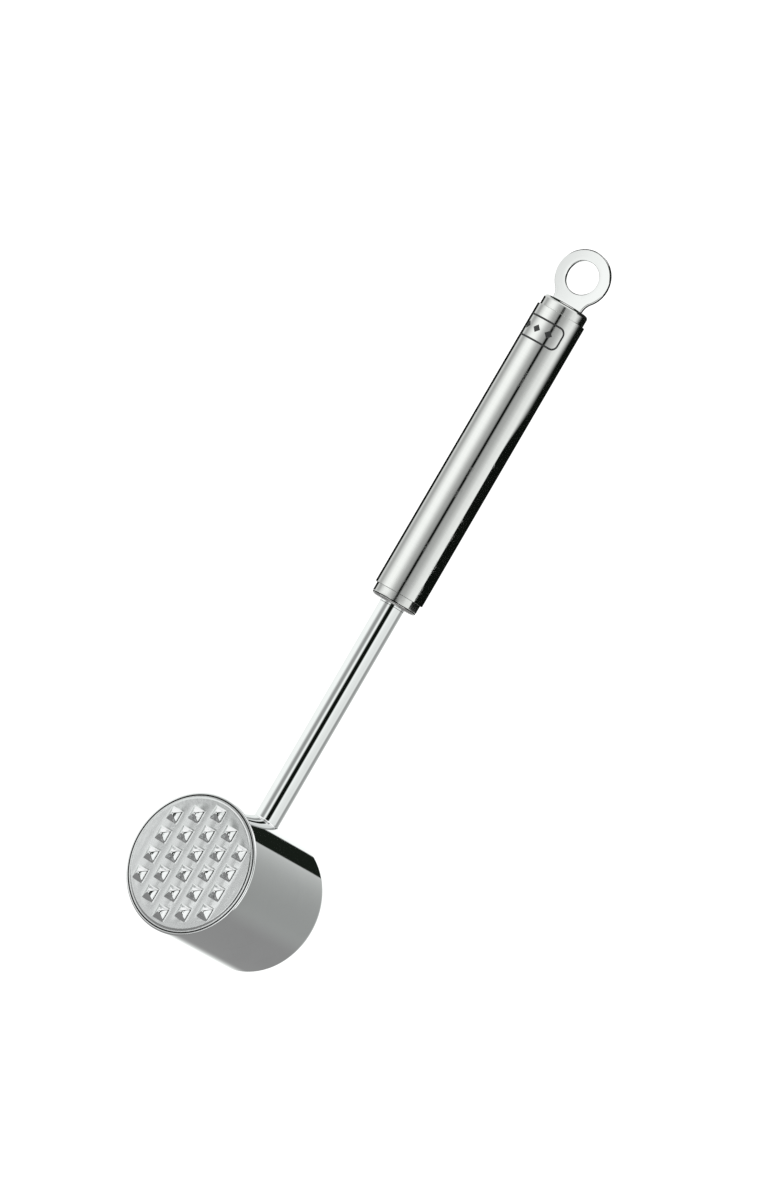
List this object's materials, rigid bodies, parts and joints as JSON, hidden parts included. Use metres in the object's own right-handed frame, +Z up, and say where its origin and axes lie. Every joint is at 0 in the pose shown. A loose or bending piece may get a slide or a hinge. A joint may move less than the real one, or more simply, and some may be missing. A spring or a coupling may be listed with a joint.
{
  "type": "meat mallet",
  "caption": "All-metal meat mallet: drum head with a toothed and a smooth face, round stem, tubular grip with end caps and a flat hanging eye.",
  "frame": {"origin": "centre of the hanging hole, in the middle of the eye plate", "axes": "+Z up the handle from head to eye, -Y out of the toothed face, +Y out of the smooth face"},
  "size_m": [0.055, 0.0566, 0.3],
  "materials": {
    "mirror_steel": "mirror-polished stainless steel",
    "polished_steel": "polished stainless steel",
    "coined_steel": "coined and tumbled stainless steel",
    "brushed_steel": "satin stainless steel, brushed",
    "turned_steel": "fine-turned stainless steel",
    "weld_steel": "laser-weld seam",
    "raw_steel": "plain turned bar"
  },
  "bodies": {
    "root": {"head_shell": "mirror_steel", "toothed_face": "coined_steel", "face_seam_weld": "weld_steel", "backing_plate": "raw_steel", "head_core": "raw_steel", "stem": "mirror_steel", "stem_weld": "mirror_steel", "lower_cap": "turned_steel", "stem_inner_weld": "weld_steel", "handle_sleeve": "brushed_steel", "lower_seam_weld": "weld_steel", "upper_seam_weld": "weld_steel", "upper_cap": "turned_steel", "hanging_eye": "polished_steel", "eye_tang_welds": "weld_steel"}
  },
  "joints": []
}
